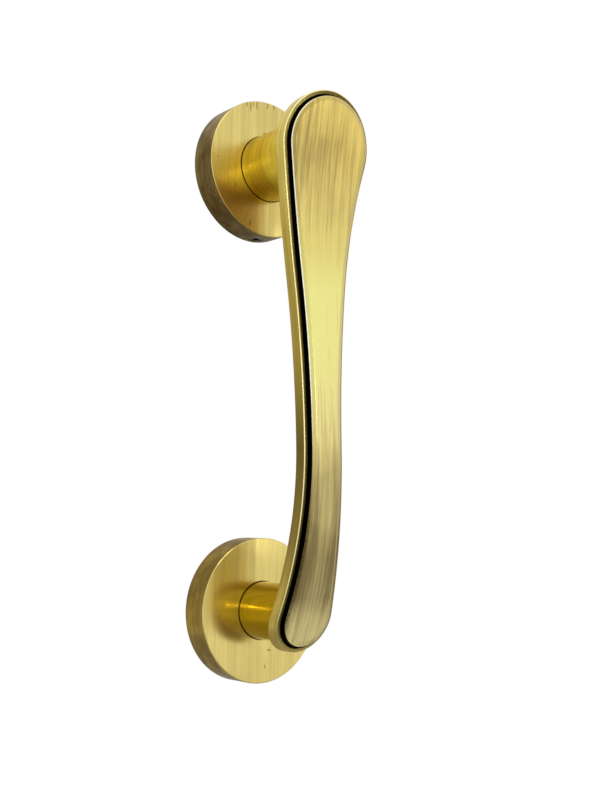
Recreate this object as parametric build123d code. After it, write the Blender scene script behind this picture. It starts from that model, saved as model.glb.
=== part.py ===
"""Door pull handle: a bowed, spoon shaped grip on two round posts and two round roses.

Millimetres. X is to the right for someone facing the door, Z is up, and the door's face is
the plane Y = 0 with the room on its negative side. The origin lies on the door's face, midway
between the centres of the two roses. A distance "off the door" is measured towards the room.
"""
import os
from math import atan2, cos, radians, sin, sqrt

from build123d import *

# Roses
rose_spacing = 155.0
rose_diameter = 49.0
rose_depth = 10.0
rose_wall = 3.0
rose_face = 2.5
rose_edge_break = 0.3

# Posts
lower_post_diameter = 19.5
upper_post_diameter = 23.4
post_edge_break = 0.25
register_diameter = 9.0
register_clearance = 0.1
register_shortfall = 0.2
spigot_diameter = 8.0
spigot_clearance = 0.05
socket_depth = 2.6
spigot_end_gap = 0.2

# Grip seen from the front
grip_top_radius = 18.3
grip_bottom_radius = 11.3
grip_bottom_drop = 1.2
grip_side_radius = 480.0

# Grip seen from the side
crest_off_door = 41.7
crest_height = -22.3
lower_bow_radius = 151.0
straight_length = 54.7
straight_lean = 2.2
flare_radius = 236.0

# Section of the grip
grip_wall = 4.9
back_edge_radius = 1.2
rim_width = 1.6
rim_edge_break = 0.35
groove_width = 0.45
groove_depth = 0.5
panel_rise = 2.2
panel_bevel_width = 1.5
panel_bevel_drop = 0.5
panel_edge_break = 0.12

# Mounting plates
plate_fit = 0.2
plate_thickness = 6.0
plate_edge_break = 0.4
plate_bore = 16.0
screw_edge_distance = 6.3
screws_per_plate = 2
screw_hole = 4.4
countersink_clearance = 0.05

# Wood screws
wood_screw_length = 20.0
wood_screw_head = 8.0
wood_screw_land = 0.3
wood_screw_sink = 0.2
wood_screw_shank = 3.0
wood_screw_thread = 4.0
wood_screw_point = 4.0
wood_screw_tip = 0.6
cross_width = 4.4
cross_slot = 1.0
cross_depth = 1.9
cross_taper = 12.0

# Post screws and their washers
post_screw_thread = 6.0
post_screw_length = 16.0
post_screw_head = 10.5
post_screw_head_height = 3.3
post_screw_head_round = 2.6
post_screw_lead = 0.6
post_screw_hex = 4.0
post_screw_hex_depth = 2.0
post_bore_clearance = 0.05
post_bore_spare = 3.0
washer_bore = 6.4
plain_washer_diameter = 12.5
plain_washer_thickness = 1.6
spring_washer_diameter = 11.4
spring_washer_thickness = 1.6
spring_washer_split = 0.8
spring_washer_slant = 20.0

# Grub screws
grub_thread = 5.0
grub_length = 4.2
grub_tip = 1.6
grub_set_in = 0.3
grub_off_door = 3.5
grub_hex = 2.5
grub_hex_depth = 2.0
grub_hole_clearance = 0.05
dimple_clearance = 0.05

rose_radius = rose_diameter / 2
cavity_depth = rose_depth - rose_face
plate_radius = rose_radius - rose_wall - plate_fit
screw_circle = 2 * (plate_radius - screw_edge_distance)
lower_centre = -rose_spacing / 2
upper_centre = rose_spacing / 2
grip_bottom_centre = lower_centre - grip_bottom_drop
reach = crest_off_door * 2


def rod(diameter, start, end, x=0.0, z=0.0):
    """A round bar square to the door, between two distances off the door."""
    disc = Plane((x, -start, z), x_dir=(1, 0, 0), z_dir=(0, -1, 0)) * Circle(diameter / 2)
    return extrude(disc, amount=end - start)


def taper(start_diameter, end_diameter, start, end, x=0.0, z=0.0):
    """A cone square to the door, between two distances off the door."""
    first = Plane((x, -start, z), x_dir=(1, 0, 0), z_dir=(0, -1, 0)) * Circle(start_diameter / 2)
    last = Plane((x, -end, z), x_dir=(1, 0, 0), z_dir=(0, -1, 0)) * Circle(end_diameter / 2)
    return loft([first.face(), last.face()])


def edges_at(solid, off_door):
    """The edges that lie whole in the plane at this distance off the door."""
    return solid.edges().filter_by_position(Axis.Y, -off_door - 0.001, -off_door + 0.001)


# Grip

def side_arc_centre():
    """Distance from the middle, and height, of the centre of the arc down each side.

    The arc touches the circles that round off the two ends of the grip.
    """
    gap = upper_centre - grip_bottom_centre
    to_top = grip_side_radius + grip_top_radius
    to_bottom = grip_side_radius + grip_bottom_radius
    rise = (to_bottom**2 - to_top**2 + gap**2) / (2 * gap)
    return sqrt(to_bottom**2 - rise**2), grip_bottom_centre + rise


def outline(inset):
    """The front outline of the grip as a face, drawn in all round by an equal margin."""
    side_x, side_z = side_arc_centre()

    def touch(centre, radius):
        angle = atan2(side_z - centre, side_x)
        return radius * cos(angle), centre + radius * sin(angle)

    top_radius = grip_top_radius - inset
    bottom_radius = grip_bottom_radius - inset
    top_x, top_z = touch(upper_centre, top_radius)
    low_x, low_z = touch(grip_bottom_centre, bottom_radius)
    waist_x = side_x - grip_side_radius - inset
    arcs = [
        ThreePointArc((-top_x, top_z), (0, upper_centre + top_radius), (top_x, top_z)),
        ThreePointArc((top_x, top_z), (waist_x, side_z), (low_x, low_z)),
        ThreePointArc((low_x, low_z), (0, grip_bottom_centre - bottom_radius), (-low_x, low_z)),
        ThreePointArc((-low_x, low_z), (-waist_x, side_z), (-top_x, top_z)),
    ]
    return Plane.XZ * make_face(arcs)


def column(inset):
    """The outline carried straight out into the room."""
    return extrude(outline(inset), amount=reach)


def behind(depth):
    """All that lies between the door and the bow, at a depth behind the front of the rim.

    The bow is a lower arc that bulges into the room, a straight run that leans to the door as
    it climbs, and an upper arc that flares into the room. Each touches the next.
    """
    lean = radians(straight_lean)
    to_door = Vector(cos(lean), -sin(lean))
    upwards = Vector(sin(lean), cos(lean))
    crest = Vector(-crest_off_door, crest_height)
    shoulder = crest + upwards * straight_length
    bulge_centre = crest + to_door * lower_bow_radius
    flare_centre = shoulder - to_door * flare_radius
    bulge_radius = lower_bow_radius - depth
    hollow_radius = flare_radius + depth

    def on_bulge(height):
        return bulge_centre.X - sqrt(bulge_radius**2 - (height - bulge_centre.Y) ** 2), height

    def on_flare(height):
        return flare_centre.X + sqrt(hollow_radius**2 - (height - flare_centre.Y) ** 2), height

    low_join = crest + to_door * depth
    high_join = shoulder + to_door * depth
    foot = grip_bottom_centre - grip_bottom_radius - grip_wall
    head = upper_centre + grip_top_radius + grip_wall
    profile = [
        ThreePointArc(on_bulge(foot), on_bulge((foot + low_join.Y) / 2), low_join),
        Line(low_join, high_join),
        ThreePointArc(high_join, on_flare((high_join.Y + head) / 2), on_flare(head)),
        Polyline(on_flare(head), (0, head), (0, foot), on_bulge(foot)),
    ]
    return extrude(Plane.YZ * make_face(profile), amount=reach, both=True)


def upright_faces(solid):
    """The faces that stand square to the door."""
    return [f for f in solid.faces() if abs(f.normal_at().Y) < 0.01]


def rim_edges(solid, facing):
    """The edges where the grip's upright sides meet its front or its back."""
    broad = [f for f in solid.faces() if f.normal_at().Y * facing > 0.5]
    side_edges = [e for f in upright_faces(solid) for e in f.edges()]
    broad_edges = [e for f in broad for e in f.edges()]
    return ShapeList(e for e in broad_edges if any(e.is_same(s) for s in side_edges))


def bevel(solid, drop, width):
    """Slope the front edge all round, by a drop down the side and a width across the front.

    The edge is one smooth loop, so the slope that starts at one stretch runs round it all.
    """
    start = rim_edges(solid, -1)[0]
    side = next(f for f in upright_faces(solid) if any(start.is_same(e) for e in f.edges()))
    return chamfer(start, drop, width, reference=side)


def grip_back(centre):
    """How far the back of the grip is off the door at this height, on the middle line."""
    ray = Edge.make_line((0, 0, centre), (0, -reach, centre))
    return (behind(grip_wall) & ray).edge().length


def socket_floor(centre):
    """How far the floor of a socket in the back of the grip is off the door."""
    return grip_back(centre) + socket_depth


def make_grip():
    """One casting: wall, rim, groove, raised panel, and a socket for each post."""
    body = (column(0) & behind(0)) - behind(grip_wall)
    body = fillet(rim_edges(body, 1), back_edge_radius)
    body = chamfer(rim_edges(body, -1), rim_edge_break)
    ring = column(rim_width) - column(rim_width + groove_width) - behind(groove_depth)
    panel = (column(rim_width + groove_width) & behind(-panel_rise)) - behind(groove_depth)
    panel = bevel(panel, panel_bevel_drop, panel_bevel_width)
    panel = chamfer(rim_edges(panel, -1), panel_edge_break)
    grip = body - ring + panel
    for centre in (lower_centre, upper_centre):
        grip -= rod(spigot_diameter + 2 * spigot_clearance, 0, socket_floor(centre), z=centre)
    return grip


# Roses and posts

def make_rose(centre, side):
    """A round cup over the mounting plate, with the grub screw's hole towards the other rose."""
    cup = rod(rose_diameter, 0, rose_depth, z=centre)
    cup = chamfer(edges_at(cup, rose_depth), rose_edge_break)
    cup -= rod(2 * (rose_radius - rose_wall), 0, cavity_depth, z=centre)
    cup -= rod(register_diameter + 2 * register_clearance, 0, rose_depth, z=centre)
    return cup - grub_hole(centre, side)


def make_post(centre, diameter):
    """A turned post: register in the rose, plain barrel, end coped to the grip, spigot in it."""
    barrel = rod(diameter, rose_depth, reach, z=centre)
    barrel = chamfer(edges_at(barrel, rose_depth), post_edge_break)
    barrel &= behind(grip_wall)
    register_start = cavity_depth + register_shortfall
    post = barrel + rod(register_diameter, register_start, rose_depth, z=centre)
    spigot_end = socket_floor(centre) - spigot_end_gap
    post += rod(spigot_diameter, rose_depth, spigot_end, z=centre)
    bore_end = screw_seat() + post_screw_length + post_bore_spare
    return post - rod(post_screw_thread + 2 * post_bore_clearance, 0, bore_end, z=centre)


# Concealed fixing

def screw_places(centre, side):
    """The places of a plate's wood screws, the first straight away from the other rose."""
    for number in range(screws_per_plate):
        turn = radians(90 * side + 360 * number / screws_per_plate)
        yield screw_circle / 2 * cos(turn), centre + screw_circle / 2 * sin(turn)


def grub_plane(centre, side, radius):
    """The plane square to the grub screw, at a distance from the rose's centre, facing out."""
    place = (0, -grub_off_door, centre - side * radius)
    return Plane(place, x_dir=(1, 0, 0), z_dir=(0, 0, -side))


def grub_hole(centre, side):
    """The threaded hole through the wall of the rose, carried past it inside and outside."""
    start = plate_radius - grub_thread
    disc = grub_plane(centre, side, start) * Circle(grub_thread / 2 + grub_hole_clearance)
    return extrude(disc, amount=rose_wall + 2 * grub_thread)


def grub_point(centre, side, clearance):
    """The cone at the inner end of the grub screw, or the dimple for it in the plate's edge."""
    tip = rose_radius - grub_set_in - grub_length
    height = (grub_thread - grub_tip) / 2
    small = grub_plane(centre, side, tip - clearance) * Circle(grub_tip / 2)
    large = grub_plane(centre, side, tip + height - clearance) * Circle(grub_thread / 2)
    return loft([small.face(), large.face()])


def make_grub_screw(centre, side):
    """A socket set screw that bites the edge of the mounting plate."""
    cone = (grub_thread - grub_tip) / 2
    outer = rose_radius - grub_set_in
    thread = grub_plane(centre, side, outer - grub_length + cone) * Circle(grub_thread / 2)
    screw = extrude(thread, amount=grub_length - cone) + grub_point(centre, side, 0)
    socket = grub_plane(centre, side, outer) * RegularPolygon(grub_hex / 2, 6, major_radius=False)
    return screw - extrude(socket, amount=-grub_hex_depth)


def make_mounting_plate(centre, side):
    """A disc with a bore for the post screw's head, a dimple for the grub screw in its edge,
    and holes with a 90 degree countersink.
    """
    plate = rod(2 * plate_radius, 0, plate_thickness, z=centre)
    plate = chamfer(edges_at(plate, plate_thickness), plate_edge_break)
    plate -= rod(plate_bore, 0, plate_thickness, z=centre)
    seat = screw_top() - wood_screw_land
    widest = wood_screw_head / 2 + countersink_clearance + plate_thickness - seat
    throat = widest - screw_hole / 2
    for x, z in screw_places(centre, side):
        plate -= rod(screw_hole, 0, plate_thickness, x, z)
        plate -= taper(screw_hole, 2 * widest, plate_thickness - throat, plate_thickness, x, z)
    return plate - grub_point(centre, side, dimple_clearance)


def screw_top():
    """How far off the door the top of a wood screw's head lies, just below the plate's face."""
    return plate_thickness - wood_screw_sink


def make_wood_screw(x, z):
    """A 90 degree countersunk screw with a cross recess.

    Its thread is the plain envelope of the real one.
    """
    top = screw_top()
    neck = top - wood_screw_land - (wood_screw_head - wood_screw_shank) / 2
    end = top - wood_screw_length
    screw = rod(wood_screw_head, top - wood_screw_land, top, x, z)
    screw += taper(wood_screw_shank, wood_screw_head, neck, top - wood_screw_land, x, z)
    screw += rod(wood_screw_shank, 0, neck, x, z)
    screw += rod(wood_screw_thread, end + wood_screw_point, 0, x, z)
    screw += taper(wood_screw_tip, wood_screw_thread, end, end + wood_screw_point, x, z)
    face = Plane((x, -top, z), x_dir=(1, 0, 0), z_dir=(0, -1, 0))
    cross = Rectangle(cross_width, cross_slot) + Rectangle(cross_slot, cross_width)
    return screw - extrude(face * cross, amount=-cross_depth, taper=cross_taper)


def screw_seat():
    """How far off the door the head of a post screw bears on its washers."""
    return cavity_depth - plain_washer_thickness - spring_washer_thickness


def make_post_screw(centre):
    """A button head screw with a hexagon socket, its head towards the door."""
    seat = screw_seat()
    top = seat - post_screw_head_height
    head = rod(post_screw_head, top, seat, z=centre)
    head = fillet(edges_at(head, top), post_screw_head_round)
    face = Plane((0, -top, centre), x_dir=(1, 0, 0), z_dir=(0, 1, 0))
    socket = face * RegularPolygon(post_screw_hex / 2, 6, major_radius=False)
    head -= extrude(socket, amount=-post_screw_hex_depth)
    shank = rod(post_screw_thread, seat, seat + post_screw_length, z=centre)
    return head + chamfer(edges_at(shank, seat + post_screw_length), post_screw_lead)


def make_plain_washer(centre):
    """The flat washer against the inside of the rose's face."""
    start = cavity_depth - plain_washer_thickness
    washer = rod(plain_washer_diameter, start, cavity_depth, z=centre)
    return washer - rod(washer_bore, start, cavity_depth, z=centre)


def make_spring_washer(centre, side):
    """The split washer between the flat washer and the screw's head, pressed flat.

    The cut for the split runs from the middle outwards, and past both faces of the washer.
    """
    start, end = screw_seat(), screw_seat() + spring_washer_thickness
    washer = rod(spring_washer_diameter, start, end, z=centre)
    washer -= rod(washer_bore, start, end, z=centre)
    outer = spring_washer_diameter / 2
    cut = Box(spring_washer_split, spring_washer_thickness * 3, spring_washer_diameter)
    slant = Rot(0, 0, spring_washer_slant)
    return washer - Pos(0, -(start + end) / 2, centre + side * outer) * slant * cut


def write(name, shape):
    """Write one piece under its own name."""
    export_step(shape, f"parts/{name}.step")


os.makedirs("parts", exist_ok=True)
write("grip", make_grip())
for level, centre, side, diameter in (
    ("lower", lower_centre, -1, lower_post_diameter),
    ("upper", upper_centre, 1, upper_post_diameter),
):
    write(f"{level}_rose", make_rose(centre, side))
    write(f"{level}_post", make_post(centre, diameter))
    write(f"{level}_mounting_plate", make_mounting_plate(centre, side))
    write(f"{level}_grub_screw", make_grub_screw(centre, side))
    write(f"{level}_post_screw", make_post_screw(centre))
    write(f"{level}_plain_washer", make_plain_washer(centre))
    write(f"{level}_spring_washer", make_spring_washer(centre, side))
    for number, (x, z) in enumerate(screw_places(centre, side), 1):
        write(f"{level}_wood_screw_{number}", make_wood_screw(x, z))
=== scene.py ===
# %% [markdown]
# # A bowed door pull in antique brass
#
# The handle is a spoon shaped brass bar on two short posts. Each post stands on a round rose, and
# the roses hide everything that holds the handle to the door. The solids of all the pieces are
# loaded first and never moved. What is made here is their looks: a finely meshed grip, real
# threads on the wood screws, and a finish for every surface. X is to the right for someone who
# faces the door, Z is up, and the room is on the negative side of Y.

# %% Load the solids
from math import cos, pi, radians, sin, tan
from types import SimpleNamespace

import bpy
from mathutils import Matrix, Vector


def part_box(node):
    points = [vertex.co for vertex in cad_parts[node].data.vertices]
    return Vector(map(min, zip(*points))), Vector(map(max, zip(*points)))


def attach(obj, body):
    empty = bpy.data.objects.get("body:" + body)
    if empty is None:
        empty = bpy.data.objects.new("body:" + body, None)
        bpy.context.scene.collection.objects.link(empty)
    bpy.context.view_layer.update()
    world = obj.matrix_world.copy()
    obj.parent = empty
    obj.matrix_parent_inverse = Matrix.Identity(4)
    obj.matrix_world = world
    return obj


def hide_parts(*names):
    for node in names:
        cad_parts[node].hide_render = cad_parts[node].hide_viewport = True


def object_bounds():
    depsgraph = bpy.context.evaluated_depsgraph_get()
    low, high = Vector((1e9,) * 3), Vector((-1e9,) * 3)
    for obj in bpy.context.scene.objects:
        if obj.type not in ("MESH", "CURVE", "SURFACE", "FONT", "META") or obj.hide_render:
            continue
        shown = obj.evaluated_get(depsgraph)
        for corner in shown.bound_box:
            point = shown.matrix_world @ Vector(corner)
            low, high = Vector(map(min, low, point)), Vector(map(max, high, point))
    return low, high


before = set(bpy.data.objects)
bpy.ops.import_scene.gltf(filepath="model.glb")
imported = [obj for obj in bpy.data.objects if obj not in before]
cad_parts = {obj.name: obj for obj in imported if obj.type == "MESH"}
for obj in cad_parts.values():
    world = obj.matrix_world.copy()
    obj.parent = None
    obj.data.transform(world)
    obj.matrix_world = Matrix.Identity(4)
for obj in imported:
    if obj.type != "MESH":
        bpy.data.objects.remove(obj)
solid_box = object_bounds()
mm = 0.001
levels = ("lower", "upper")
print("solids:", len(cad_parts), "box:", solid_box)

# %% [markdown]
# ## The camera
#
# The photograph was taken from the left of the handle and a little below its middle, from nearer
# than half a metre. The place, the turn and the lens were worked out from the edges of the two
# round roses, which are circles of a known spacing. A camera can also be aimed at an empty with
# a constraint, but its own three axes written into a matrix keep the small roll as well.

# %% Camera
photo_height = 800
focal_pixels = 1138.0
camera_place = Vector((-240.21, -322.81, -49.11)) * mm
camera_azimuth = radians(-39.31)
camera_elevation = radians(-6.365)
camera_roll = radians(0.557)

forward = Vector((
    -sin(camera_azimuth) * cos(camera_elevation),
    cos(camera_azimuth) * cos(camera_elevation),
    -sin(camera_elevation),
))
level_right = Vector((cos(camera_azimuth), sin(camera_azimuth), 0))
level_up = level_right.cross(forward)
right = cos(camera_roll) * level_right + sin(camera_roll) * level_up
up = cos(camera_roll) * level_up - sin(camera_roll) * level_right

camera_data = bpy.data.cameras.new("photo_camera")
camera_data.sensor_fit = "VERTICAL"
camera_data.sensor_height = 36
camera_data.lens = focal_pixels * camera_data.sensor_height / photo_height
camera_data.clip_start = 0.01
camera = bpy.data.objects.new("photo_camera", camera_data)
bpy.context.scene.collection.objects.link(camera)
turn = Matrix((right, up, -forward)).transposed().to_4x4()
camera.matrix_world = Matrix.Translation(camera_place) @ turn
bpy.context.scene.camera = camera
print("lens:", round(camera_data.lens, 2), "mm")

# %% [markdown]
# ## Sums written as sums
#
# Much of this handle is a rule: arcs that touch, a section that is carried round an outline, lines
# of brushing that are long one way and fine the other. In a node tree each plus and times is a
# node of its own. A small class that stands for a socket lets Python's own signs make those
# nodes, so that a formula in a tree reads like the same formula on paper. The short functions
# after it join sockets, make nodes, take a position apart and mix colours.

# %% Node helpers
class Wire:
    """An output socket that can be added, multiplied and so on."""

    def __init__(self, tree, socket):
        self.tree = tree
        self.socket = socket

    def math(self, operation, *others):
        made = self.tree.nodes.new("ShaderNodeMath")
        made.operation = operation
        for value, socket in zip((self, *others), made.inputs):
            plug(self.tree, value, socket)
        return Wire(self.tree, made.outputs[0])

    def __add__(self, other):
        return self.math("ADD", other)

    def __sub__(self, other):
        return self.math("SUBTRACT", other)

    def __mul__(self, other):
        return self.math("MULTIPLY", other)

    def __truediv__(self, other):
        return self.math("DIVIDE", other)

    def __neg__(self):
        return self.math("MULTIPLY", -1.0)

    def less(self, other):
        return self.math("LESS_THAN", other)

    def more(self, other):
        return self.math("GREATER_THAN", other)

    def square(self):
        return self.math("MULTIPLY", self)

    def root(self):
        return self.math("SQRT")

    def clamped(self):
        return self.math("MINIMUM", 1.0).math("MAXIMUM", 0.0)

    def opposite(self):
        """1 where this is 0, and 0 where this is 1."""
        return -self + 1.0

    def ramp(self, low, high):
        """0 below low, 1 above high, smooth between. It falls instead where low is the larger."""
        made = node(self.tree, "ShaderNodeMapRange", {"interpolation_type": "SMOOTHSTEP"})
        for value, socket in zip((self, low, high, 0.0, 1.0), made.inputs):
            plug(self.tree, value, socket)
        return Wire(self.tree, made.outputs[0])

    def ramp_mm(self, low, high):
        """The same ramp between two places in millimetres."""
        return self.ramp(low * mm, high * mm)


def plug(tree, source, socket):
    """Join a source to a socket, or set the socket's own value."""
    if isinstance(source, Wire):
        tree.links.new(source.socket, socket)
    elif isinstance(source, bpy.types.NodeSocket):
        tree.links.new(source, socket)
    else:
        socket.default_value = source


def node(tree, kind, settings=None, **inputs):
    """Make a node. An input's name is written with _ for each space."""
    made = tree.nodes.new(kind)
    for name, value in (settings or {}).items():
        setattr(made, name, value)
    for name, value in inputs.items():
        plug(tree, value, made.inputs[name.replace("_", " ")])
    return made


def blank(owner):
    """The shader tree of a material or a world, with nothing in it yet."""
    owner.use_nodes = True
    owner.node_tree.nodes.clear()
    return owner.node_tree


def object_place(tree):
    """The position of the point that is shaded, in the frame that all pieces share."""
    return node(tree, "ShaderNodeTexCoord").outputs["Object"]


def split(tree, vector):
    """The three numbers of a vector, each as a wire."""
    return [Wire(tree, socket) for socket in node(tree, "ShaderNodeSeparateXYZ", Vector=vector).outputs]


def mixed(tree, share, first, second):
    """A colour between two colours."""
    made = node(tree, "ShaderNodeMix", {"data_type": "RGBA"})
    for socket, value in ((made.inputs[0], share), (made.inputs[6], first), (made.inputs[7], second)):
        plug(tree, value, socket)
    return Wire(tree, made.outputs[2])


def paint(hex_code):
    """A colour as a paint program writes it, in the linear values that nodes use."""
    parts = [int(hex_code[i:i + 2], 16) / 255 for i in (0, 2, 4)]
    linear = [((p + 0.055) / 1.055) ** 2.4 if p > 0.04 else p / 12.92 for p in parts]
    return (*linear, 1.0)


def layered(tree, colour, coats):
    """Lay coats over a colour, each given by its share, often a mask, and its colour."""
    for share, coat in coats:
        colour = mixed(tree, share, colour, coat)
    return colour


print("helpers ready")

# %% [markdown]
# ## Floor, cards and light
#
# The photograph has nothing but white round the handle. The world is white for what the camera
# sees directly and for what metal mirrors, and dimmer as a source of light. A mirror-like metal
# in an all white room looks flat, so photographers stand dull cards beside it: here two grey
# cards darken the sides that the photograph shows darker. The camera doesn't see the cards. The
# floor is a plain pale plane well below the handle. It keeps the shadow near its middle and turns
# to the white of the background further out, so no horizon shows.

# %% Stage
floor_drop = 250 * mm
floor_size = 8.0
floor_shade = 0.9
shadow_reach = 0.45
white_reach = 0.8
square_corners = ((-1, -1), (1, -1), (1, 1), (-1, 1))
white = (1, 1, 1, 1)


def flat_piece(name, corners):
    """One flat four-sided stage piece."""
    mesh = bpy.data.meshes.new(name)
    mesh.from_pydata([tuple(c) for c in corners], [], [(0, 1, 2, 3)])
    piece = bpy.data.objects.new(name, mesh)
    bpy.context.scene.collection.objects.link(piece)
    return piece


def card(name, centre, width, height, shade):
    """A card that faces the middle of the handle, unseen by the camera."""
    centre = Vector(centre)
    across = Vector((0, 0, 1)).cross(centre).normalized() * width / 2
    upright = centre.cross(across).normalized() * height / 2
    piece = flat_piece(name, [centre + across * a + upright * b for a, b in square_corners])
    piece.visible_camera = False
    piece.visible_shadow = False
    material = bpy.data.materials.new(name)
    tree = blank(material)
    surface = node(tree, "ShaderNodeEmission", Color=(shade, shade, shade, 1), Strength=1.0)
    node(tree, "ShaderNodeOutputMaterial", Surface=surface.outputs[0])
    piece.data.materials.append(material)


def plain_view(tree):
    """1 for what the camera sees directly, mirrored or through glass, and 0 for light on a surface."""
    rays = node(tree, "ShaderNodeLightPath").outputs
    seen = Wire(tree, rays["Is Camera Ray"]) + rays["Is Glossy Ray"] + rays["Is Transmission Ray"]
    return seen.clamped()


floor_height = solid_box[0][2] - floor_drop
half = floor_size / 2
floor = flat_piece("floor", [(x * half, y * half, floor_height) for x, y in square_corners])
floor_material = bpy.data.materials.new("pale_floor")
tree = blank(floor_material)
x, y, _ = split(tree, object_place(tree))
from_middle = (x.square() + y.square()).root()
matt = node(tree, "ShaderNodeBsdfDiffuse", Color=(floor_shade, floor_shade, floor_shade, 1))
backdrop = node(tree, "ShaderNodeEmission", Color=white, Strength=1.0)
to_white = from_middle.ramp(shadow_reach, white_reach) * plain_view(tree)
surface = node(tree, "ShaderNodeMixShader", Fac=to_white)
plug(tree, matt.outputs[0], surface.inputs[1])
plug(tree, backdrop.outputs[0], surface.inputs[2])
node(tree, "ShaderNodeOutputMaterial", Surface=surface.outputs[0])
floor.data.materials.append(floor_material)
print("floor at", round(floor_height, 3))

# %% [markdown]
# ### World, lamps and cards
#
# The photo was lit by a white room. Brass has little colour of its own to show: it shows what it
# mirrors, so most of the look comes from where the white is and where it isn't. A window lamp and
# an overhead lamp give the soft shadow, a small lamp just behind the camera draws the thin line on
# the lower post, and a lamp on the right brightens the faces of the roses. The two grey cards stand
# where the walls and the backs of the pieces look. A picture of a room would do the same, but these
# few shapes can be moved one at a time.

# %% World and lamps
world_light = 0.55

world = bpy.data.worlds.new("white_studio")
bpy.context.scene.world = world
tree = blank(world)
strength = plain_view(tree) * (1 - world_light) + world_light
backdrop = node(tree, "ShaderNodeBackground", Color=white, Strength=strength)
node(tree, "ShaderNodeOutputWorld", Surface=backdrop.outputs[0])


def lamp(name, centre, size, watts):
    """A square soft lamp that faces the middle of the handle."""
    data = bpy.data.lights.new(name, "AREA")
    data.size = size
    data.energy = watts
    made = bpy.data.objects.new(name, data)
    bpy.context.scene.collection.objects.link(made)
    made.location = centre
    made.rotation_euler = (-Vector(centre)).to_track_quat("-Z", "Y").to_euler()
    return made


lamp("window", (0.70, -0.80, 0.28), size=0.35, watts=0.10)
lamp("overhead", (-0.3, -0.3, 1.2), size=0.7, watts=1.5)
camera_side_lamp = lamp("camera_side_lamp", (-0.58, -0.73, 0.085), size=0.03, watts=0.28)
camera_side_lamp.visible_camera = False
lamp("face_lamp", (0.40, -0.92, 0.09), size=0.12, watts=0.30)
card("left_card", (-0.80, 0.35, 0.0), width=1.1, height=1.3, shade=0.75)
card("back_card", (0.10, 0.90, 0.0), width=0.9, height=1.3, shade=0.42)
bpy.context.scene.view_settings.view_transform = "Standard"

# %% [markdown]
# ## The grip
#
# On the real handle the grip is one casting, ground flat along its front and filed at its edges.
# Seen from the front its outline is four arcs that touch: a large round head, a small round foot
# and a long hollow arc down each side. Its section is the same all round: a wall, a narrow rim, a
# groove, and a raised panel with sloping edges. Seen from the side it is bowed. It could be
# sculpted or built by subdivision, but its shape is a rule, and Geometry Nodes can follow one:
# the section is drawn once as a line, a grid carries it round the outline, and last each point is
# pushed out to the bow. The sizes below are those of the casting.

# %% Grip sizes
head_height = 77.5 * mm
foot_height = -78.7 * mm
grip_sizes = {
    "Head Radius": 18.3 * mm,
    "Foot Radius": 11.3 * mm,
    "Head Height": head_height,
    "Foot Height": foot_height,
    "Side Radius": 480.0 * mm,
    "Crest Off Door": 41.7 * mm,
    "Crest Height": -22.3 * mm,
    "Bulge Radius": 151.0 * mm,
    "Straight Length": 54.7 * mm,
    "Straight Lean": radians(2.2),
    "Flare Radius": 236.0 * mm,
}
grip_wall = 4.9 * mm
back_round = 1.2 * mm
rim_round = 0.35 * mm
rim_width = 1.6 * mm
groove_width = 0.45 * mm
groove_depth = 0.5 * mm
panel_rise = 2.2 * mm
bevel_width = 1.5 * mm
bevel_drop = 0.5 * mm
panel_inset = rim_width + groove_width
field_inset = panel_inset + bevel_width
grip_length = head_height + grip_sizes["Head Radius"] - foot_height + grip_sizes["Foot Radius"]
print("length of the grip:", round(grip_length / mm, 1), "mm")

# %% [markdown]
# ### The section
#
# A point of the section has two sizes: how far in it lies from the outline, and how deep behind
# the front of the rim. Its third number is its share of the way from the last of those lines to
# the middle of the casting, which is how the flat front and back are filled. Each corner is a small
# arc, because real edges catch the light, with one more point just before and after it, so that the
# flats beside it shade flat. The list holds each corner, the radius of its arc and the arc's steps.

# %% Section of the grip
back_start = 4 * back_round
groove_round = 0.12 * mm
panel_round = 0.22 * mm
field_round = 2.0 * mm
fill_steps = 6
beside_share = 0.15


def arc_at(before, corner, after, radius, steps):
    """The points of a small arc that rounds off a corner, and one beside it on each flat."""
    back, onward = (before - corner).normalized(), (after - corner).normalized()
    opening = back.angle(onward)
    trim = radius / tan(opening / 2)
    centre = corner + (back + onward).normalized() * radius / sin(opening / 2)
    first = (corner + back * trim - centre).normalized()
    last = (corner + onward * trim - centre).normalized()
    turned = [centre + first.slerp(last, n / steps) * radius for n in range(steps + 1)]
    beside = beside_share * radius
    return [corner + back * (trim + beside), *turned, corner + onward * (trim + beside)]


def grip_section():
    """(inset, depth, share of the way to the middle) for each point, from the back to the front."""
    corners = [
        (Vector((back_start, grip_wall)), 0, 0),
        (Vector((0, grip_wall)), back_round, 8),
        (Vector((0, 0)), rim_round, 4),
        (Vector((rim_width, 0)), groove_round, 3),
        (Vector((rim_width, groove_depth)), groove_round, 3),
        (Vector((panel_inset, groove_depth)), groove_round, 3),
        (Vector((panel_inset, bevel_drop - panel_rise)), panel_round, 5),
        (Vector((field_inset, -panel_rise)), field_round, 4),
        (Vector((field_inset + bevel_width, -panel_rise)), 0, 0),
    ]
    fill = [n / fill_steps for n in range(fill_steps + 1)]
    points = [(corners[0][0].x, grip_wall, share) for share in reversed(fill)]
    for (before, _, _), (corner, radius, steps), (after, _, _) in zip(corners, corners[1:], corners[2:]):
        points += [(p.x, p.y, 0) for p in arc_at(before, corner, after, radius, steps)]
    points += [(corners[-1][0].x, -panel_rise, share) for share in fill]
    return points


section = grip_section()
section_mesh = bpy.data.meshes.new("grip")
section_mesh.from_pydata(section, [(n, n + 1) for n in range(len(section) - 1)], [])
print("points in the section:", len(section))

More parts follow.
